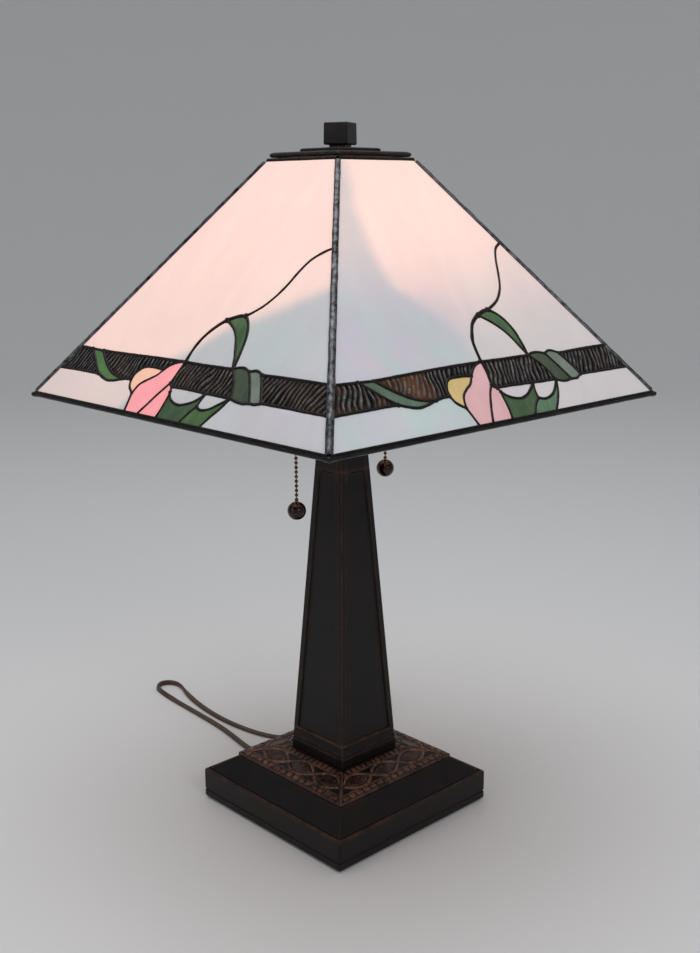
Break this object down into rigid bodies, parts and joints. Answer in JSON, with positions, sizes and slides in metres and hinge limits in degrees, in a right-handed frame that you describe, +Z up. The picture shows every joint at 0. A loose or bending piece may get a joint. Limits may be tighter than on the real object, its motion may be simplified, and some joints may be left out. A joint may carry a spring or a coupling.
{
  "type": "stained glass table lamp",
  "caption": "Mission-style table lamp: leaded opal glass pyramid shade with a floral band on a tapered square column and stepped square base.",
  "frame": {"origin": "middle of the base's underside, on the surface the lamp stands on", "axes": "+Z up along the column, -Y towards the front panel, the cord leaves the base at +Y"},
  "size_m": [0.3568, 0.4982, 0.568],
  "materials": {
    "bronze": "dark bronze paint, satin",
    "bronze_relief": "dark bronze paint with copper rubbed on the ridges",
    "brass": "aged",
    "zinc": "zinc plated",
    "solder": "mottled tinned solder",
    "lead_dark": "dark patina",
    "glass_opal": "opalescent, faintly iridescent",
    "glass_band": "dark ribbed glass",
    "bulb_glass": "frosted",
    "felt": "felt",
    "cord": "brown vinyl",
    "copper_bronze": "dark copper bronze, polished"
  },
  "bodies": {
    "lamp": {"felt_pad": "felt", "base_casting": "bronze", "embossed_collar": "bronze_relief", "column": "bronze", "column_cap": "bronze", "center_rod": "brass", "rod_washer": "zinc", "bottom_nut": "brass", "socket_cluster": "brass", "socket_shell_left": "brass", "socket_shell_right": "brass", "upper_stem": "brass", "shade_spider": "brass", "strain_relief": "cord", "cord_run": "cord", "cord_coil": "cord", "cord_plug": "cord"},
    "shade": {"top_ring": "brass", "shade_cap": "bronze", "cap_plate": "bronze", "bottom_rim": "lead_dark", "glass_field_front": "glass_opal", "glass_side_front": "glass_opal", "glass_loop_front": "glass_opal", "glass_band_front": "glass_band", "glass_border_front": "glass_opal", "glass_field_right": "glass_opal", "glass_side_right": "glass_opal", "glass_loop_right": "glass_opal", "glass_band_right": "glass_band", "glass_border_right": "glass_opal", "glass_field_back": "glass_opal", "glass_side_back": "glass_opal", "glass_loop_back": "glass_opal", "glass_band_back": "glass_band", "glass_border_back": "glass_opal", "glass_field_left": "glass_opal", "glass_side_left": "glass_opal", "glass_loop_left": "glass_opal", "glass_band_left": "glass_band", "glass_border_left": "glass_opal", "leading_front": "lead_dark", "leading_right": "lead_dark", "leading_back": "lead_dark", "leading_left": "lead_dark", "hip_seam_front": "solder", "hip_seam_right": "solder", "hip_seam_back": "solder", "hip_seam_left": "solder"},
    "finial": {"finial": "bronze"},
    "bulb_left": {"bulb_left": "bulb_glass"},
    "bulb_right": {"bulb_right": "bulb_glass"},
    "pull_left": {"pull_tongue_left": "brass"},
    "pull_right": {"pull_tongue_right": "brass"},
    "chain_left": {"pull_chain_left": "copper_bronze", "pull_ball_left": "copper_bronze"},
    "chain_right": {"pull_chain_right": "copper_bronze", "pull_ball_right": "copper_bronze"}
  },
  "joints": [
    {"name": "shade_turn", "type": "hinge", "parent": "lamp", "child": "shade", "pos_m": [0, 0, 0.54], "axis": [0, 0, 1], "continuous": true},
    {"name": "finial_turn", "type": "hinge", "parent": "lamp", "child": "finial", "pos_m": [0, 0, 0.555], "axis": [0, 0, 1], "continuous": true},
    {"name": "bulb_left_turn", "type": "hinge", "parent": "lamp", "child": "bulb_left", "pos_m": [0, 0, 0.362], "axis": [-0.866, 0, 0.5], "continuous": true},
    {"name": "bulb_right_turn", "type": "hinge", "parent": "lamp", "child": "bulb_right", "pos_m": [0, 0, 0.362], "axis": [0.866, 0, 0.5], "continuous": true},
    {"name": "pull_left_slide", "type": "slide", "parent": "lamp", "child": "pull_left", "axis": [0, 0, -1], "range_m": [0, 0.012], "stiffness_N_per_m": 500, "springref_m": -0.002},
    {"name": "pull_right_slide", "type": "slide", "parent": "lamp", "child": "pull_right", "axis": [0, 0, -1], "range_m": [0, 0.012], "stiffness_N_per_m": 500, "springref_m": -0.002},
    {"name": "chain_left_swing", "type": "hinge", "parent": "pull_left", "child": "chain_left", "pos_m": [-0.05, 0, 0.351], "axis": [0, 1, 0], "range_deg": [-12, 30]},
    {"name": "chain_right_swing", "type": "hinge", "parent": "pull_right", "child": "chain_right", "pos_m": [0.05, 0, 0.351], "axis": [0, -1, 0], "range_deg": [-12, 30]}
  ]
}
